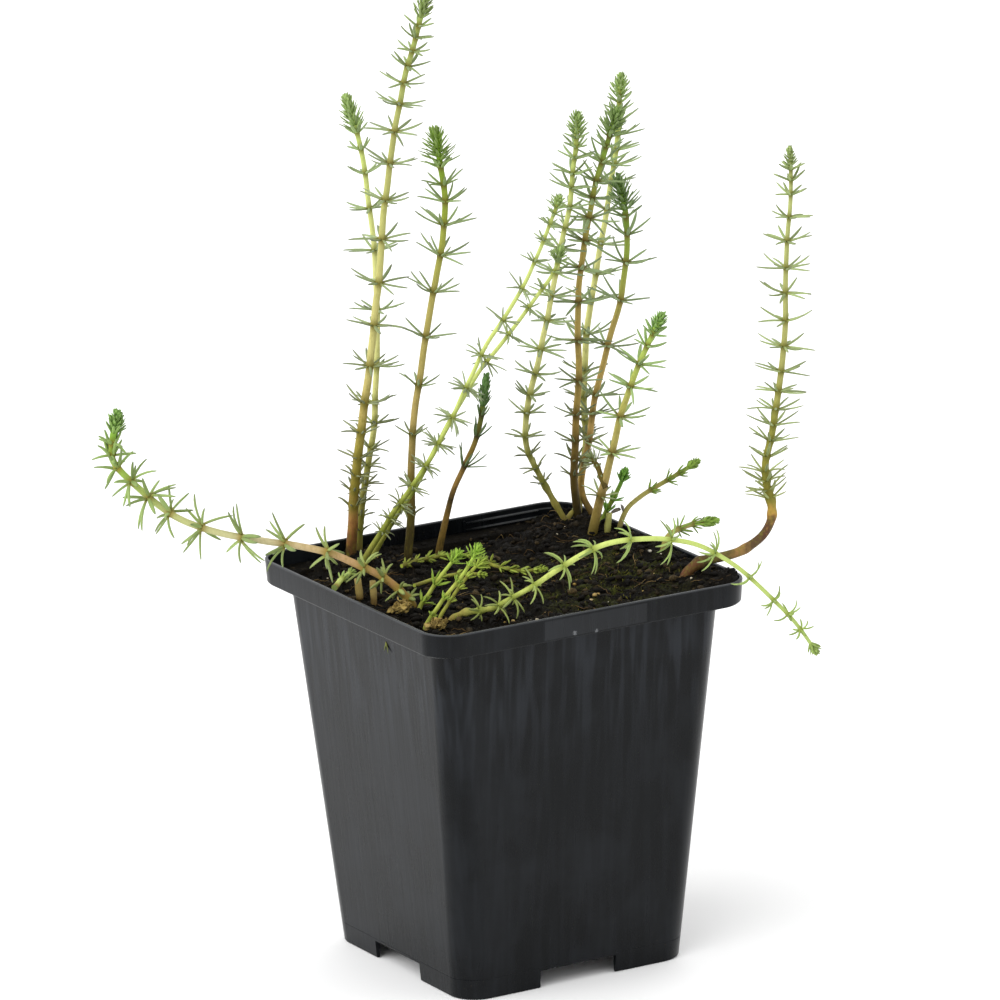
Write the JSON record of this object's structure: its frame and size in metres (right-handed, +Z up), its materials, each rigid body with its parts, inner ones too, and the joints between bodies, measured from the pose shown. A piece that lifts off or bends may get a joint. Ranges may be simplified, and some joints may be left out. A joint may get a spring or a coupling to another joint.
{
  "type": "potted mare's tail plant",
  "caption": "Young mare's tail water plant with slender upright, arching and trailing shoots ringed with narrow leaves, in a small square black nursery pot of dark growing medium.",
  "frame": {"origin": "under the middle of the whole plant's outline, on the surface that the pot stands on", "axes": "+Z up along the upright stems; the pot's sides run along X and Y, and the trailing stem leaves towards -X"},
  "size_m": [0.1652, 0.1397, 0.2409],
  "materials": {
    "black_plastic": "satin, with fine vertical flow marks",
    "growing_medium": "moist dark crumb with fibres",
    "green_stem": "soft living plant, satin",
    "pale_stem": "soft living plant, satin",
    "brown_stem": "soft living plant, satin",
    "withered": "dry plant matter, matt"
  },
  "bodies": {
    "root": {"pot": "black_plastic", "growing_medium": "growing_medium", "stem_tallest": "green_stem", "stem_behind_tallest": "green_stem", "stem_left_middle": "green_stem", "shoot_brown": "brown_stem", "stem_leaning_front": "green_stem", "stem_leaning_back": "green_stem", "stem_crooked": "green_stem", "stem_brown": "brown_stem", "stem_pale_tall": "green_stem", "stem_dark_tip": "green_stem", "stem_thick_foot": "brown_stem", "shoot_beside_thick_foot": "green_stem", "shoot_right_upper": "green_stem", "shoot_right_lower": "green_stem", "stem_arching": "pale_stem", "stem_hooked": "brown_stem", "stem_trailing": "pale_stem", "shoot_front_long": "green_stem", "shoot_front_short": "green_stem", "shoot_front_vivid": "green_stem", "runner_back": "green_stem", "runner_middle": "green_stem", "runner_brown": "brown_stem", "runner_left": "pale_stem", "stub_left_front": "withered", "stub_left_back": "withered", "stub_beside_thick_foot": "withered", "withered_leaves": "withered", "withered_leaf_front": "withered"}
  },
  "joints": []
}
